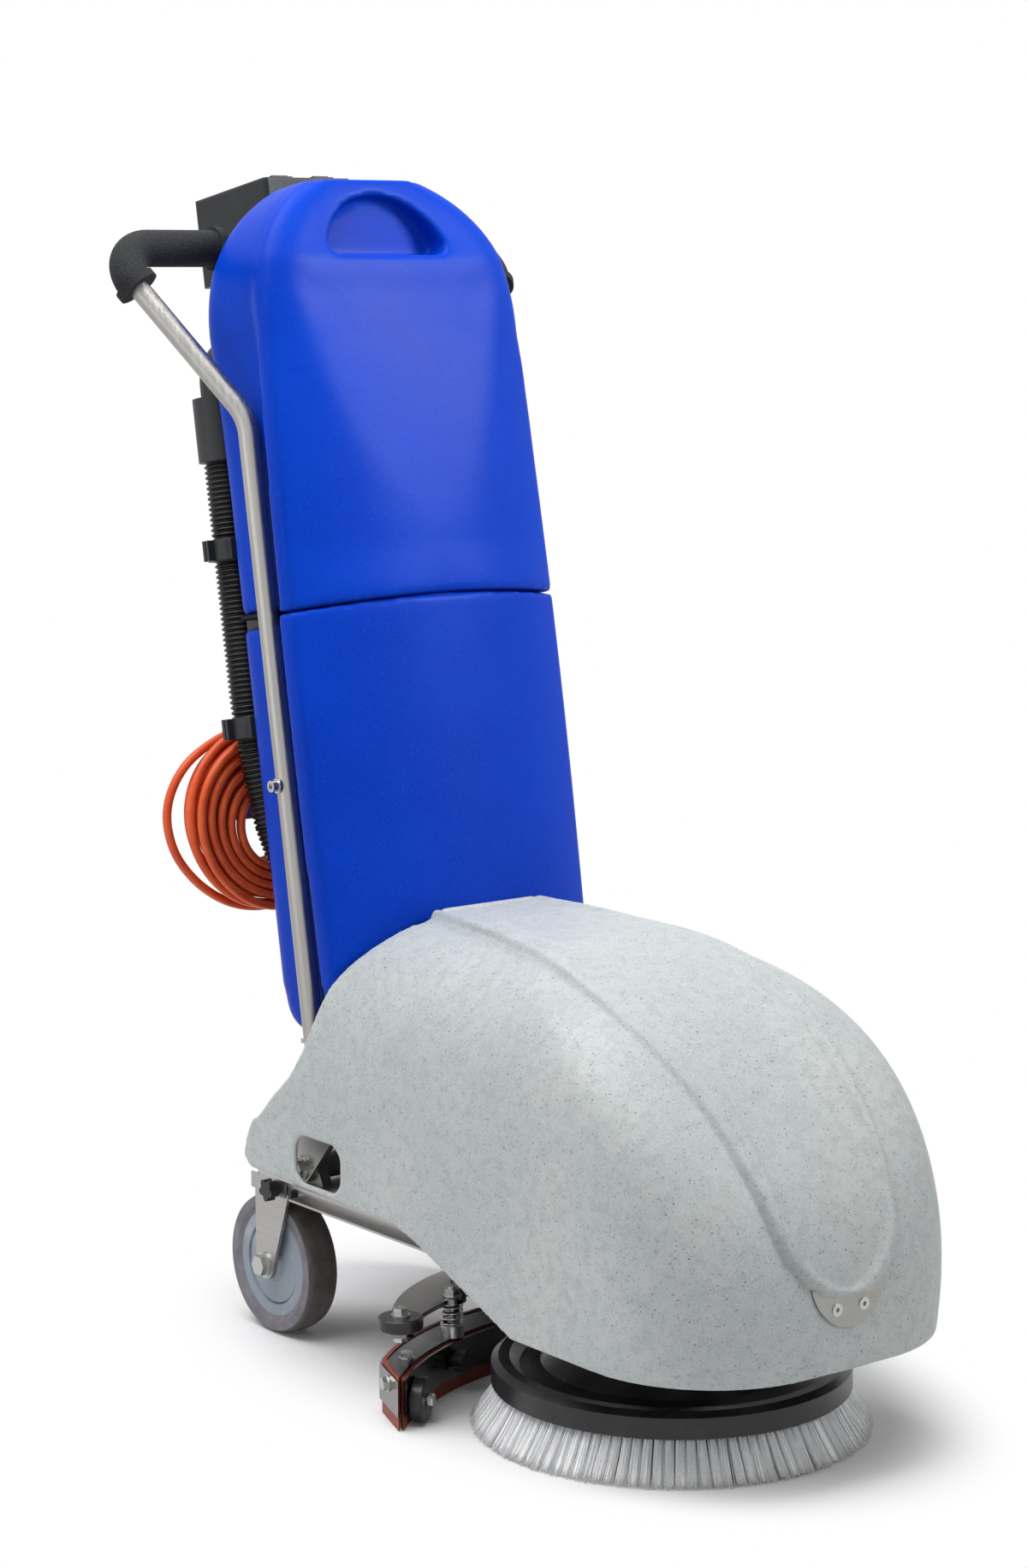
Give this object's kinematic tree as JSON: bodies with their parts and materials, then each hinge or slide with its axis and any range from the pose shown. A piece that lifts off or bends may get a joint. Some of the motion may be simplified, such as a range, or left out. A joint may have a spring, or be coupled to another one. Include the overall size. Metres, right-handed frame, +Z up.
{
  "type": "walk-behind scrubber dryer",
  "caption": "Upright walk-behind floor scrubber dryer: round brush under a cover, leaning column with two tanks, curved squeegee, suction hose, wheels and a coiled mains cable.",
  "frame": {"origin": "On the floor under the middle of the machine's box, cable left out.", "axes": "+Z up, front of the machine towards -Y, +X to the right when seen from the front."},
  "size_m": [0.4214, 0.834, 1.0109],
  "materials": {
    "tyre": "matte grey non-marking rubber",
    "hub": "light blue-grey moulded plastic",
    "stainless": "brushed stainless steel",
    "zinc": "bright zinc-plated fasteners",
    "cover": "grey rotomoulded plastic with granite speckle",
    "tank": "royal blue rotomoulded plastic",
    "foam": "black foam rubber",
    "black": "black moulded plastic",
    "box": "dark satin painted sheet",
    "hose": "dark ribbed vinyl hose",
    "cord": "orange sheathed cable",
    "blade": "red-brown gum rubber",
    "bristle": "pale nylon filaments",
    "motor": "cast aluminium housing"
  },
  "bodies": {
    "chassis": {"chassis": "stainless", "forks": "stainless", "axles": "zinc", "brush_gearbox": "motor", "brush_motor": "motor", "vacuum_motor": "black", "water_valve": "black", "cover": "cover", "cover_plate": "stainless", "cover_screws": "zinc", "pivot_lugs": "stainless", "pivot_tube": "stainless", "pivot_bolts": "zinc", "squeegee_carrier": "stainless", "roller_bolts": "zinc", "squeegee_springs": "zinc"},
    "wheel_left": {"tyre_left": "tyre", "wheel_hub_left": "hub"},
    "wheel_right": {"tyre_right": "tyre", "wheel_hub_right": "hub"},
    "brush": {"brush_block": "black", "bristles": "bristle", "drive_coupling": "black", "drive_shaft": "zinc"},
    "column": {"handle_frame": "stainless", "grips": "foam", "column_plates": "stainless", "tube_screws": "zinc", "control_box": "box", "control_panel": "black", "solution_tank": "tank", "recovery_tank": "tank", "inlet_elbow": "black", "suction_hose": "hose", "hose_loop": "hose", "hose_cuff": "black", "hose_clips": "black", "cord_hook": "stainless", "cord_gland": "black", "cord_lead": "cord", "cord_coil": "cord", "cord_tail": "cord", "cord_plug": "black"},
    "filler_cap": {"filler_cap": "black"},
    "tank_lid": {"tank_lid": "black"},
    "squeegee": {"squeegee_body": "black", "blade_front": "blade", "blade_rear": "blade", "squeegee_strips": "stainless", "squeegee_bolts": "zinc", "clamp_knobs": "black", "spring_studs": "zinc"},
    "support_left": {"support_wheel_left": "black"},
    "support_right": {"support_wheel_right": "black"},
    "bumper_left": {"bumper_roller_left": "black"},
    "bumper_right": {"bumper_roller_right": "black"},
    "brush_switch": {"brush_switch": "black"},
    "vacuum_switch": {"vacuum_switch": "black"},
    "knob_left": {"rail_knob_left": "black"},
    "knob_right": {"rail_knob_right": "black"}
  },
  "joints": [
    {"name": "wheel_left_spin", "type": "hinge", "parent": "chassis", "child": "wheel_left", "pos_m": [-0.1105, 0.19282, 0.0625], "axis": [1, 0, 0], "continuous": true},
    {"name": "wheel_right_spin", "type": "hinge", "parent": "chassis", "child": "wheel_right", "pos_m": [0.1105, 0.19282, 0.0625], "axis": [1, 0, 0], "continuous": true},
    {"name": "brush_spin", "type": "hinge", "parent": "chassis", "child": "brush", "pos_m": [0, -0.20418, 0.06], "axis": [0, 0, 1], "continuous": true},
    {"name": "column_tilt", "type": "hinge", "parent": "chassis", "child": "column", "pos_m": [0, 0.14082, 0.16], "axis": [-1, 0, 0], "range_deg": [0, 30], "deforming": ["hose_loop"]},
    {"name": "squeegee_float", "type": "slide", "parent": "chassis", "child": "squeegee", "axis": [0, 0, 1], "range_m": [0, 0.006], "stiffness_N_per_m": 1500, "deforming": ["squeegee_springs"]},
    {"name": "support_left_spin", "type": "hinge", "parent": "squeegee", "child": "support_left", "pos_m": [-0.16207, -0.08074, 0.0185], "axis": [0.6047, -0.7964, 0], "continuous": true},
    {"name": "bumper_left_spin", "type": "hinge", "parent": "chassis", "child": "bumper_left", "pos_m": [-0.177, -0.07318, 0.0845], "axis": [0, 0, 1], "continuous": true},
    {"name": "knob_left_turn", "type": "hinge", "parent": "chassis", "child": "knob_left", "pos_m": [-0.143, 0.16582, 0.138], "axis": [-1, 0, 0], "continuous": true},
    {"name": "support_right_spin", "type": "hinge", "parent": "squeegee", "child": "support_right", "pos_m": [0.16207, -0.08074, 0.0185], "axis": [-0.6047, -0.7964, 0], "continuous": true},
    {"name": "bumper_right_spin", "type": "hinge", "parent": "chassis", "child": "bumper_right", "pos_m": [0.177, -0.07318, 0.0845], "axis": [0, 0, 1], "continuous": true},
    {"name": "knob_right_turn", "type": "hinge", "parent": "chassis", "child": "knob_right", "pos_m": [0.143, 0.16582, 0.138], "axis": [1, 0, 0], "continuous": true},
    {"name": "brush_switch_rock", "type": "hinge", "parent": "column", "child": "brush_switch", "pos_m": [-0.022, 0.32511, 1.00333], "axis": [1, 0, 0], "range_deg": [-8, 8]},
    {"name": "vacuum_switch_rock", "type": "hinge", "parent": "column", "child": "vacuum_switch", "pos_m": [0.022, 0.32511, 1.00333], "axis": [1, 0, 0], "range_deg": [-8, 8]},
    {"name": "tank_lid_turn", "type": "hinge", "parent": "column", "child": "tank_lid", "pos_m": [0.028, 0.26657, 0.74507], "axis": [0, 0.9848, -0.1736], "range_deg": [0, 90]},
    {"name": "filler_cap_turn", "type": "hinge", "parent": "column", "child": "filler_cap", "pos_m": [0.04, 0.23531, 0.5678], "axis": [0, 0.9848, -0.1736], "range_deg": [0, 180]}
  ]
}
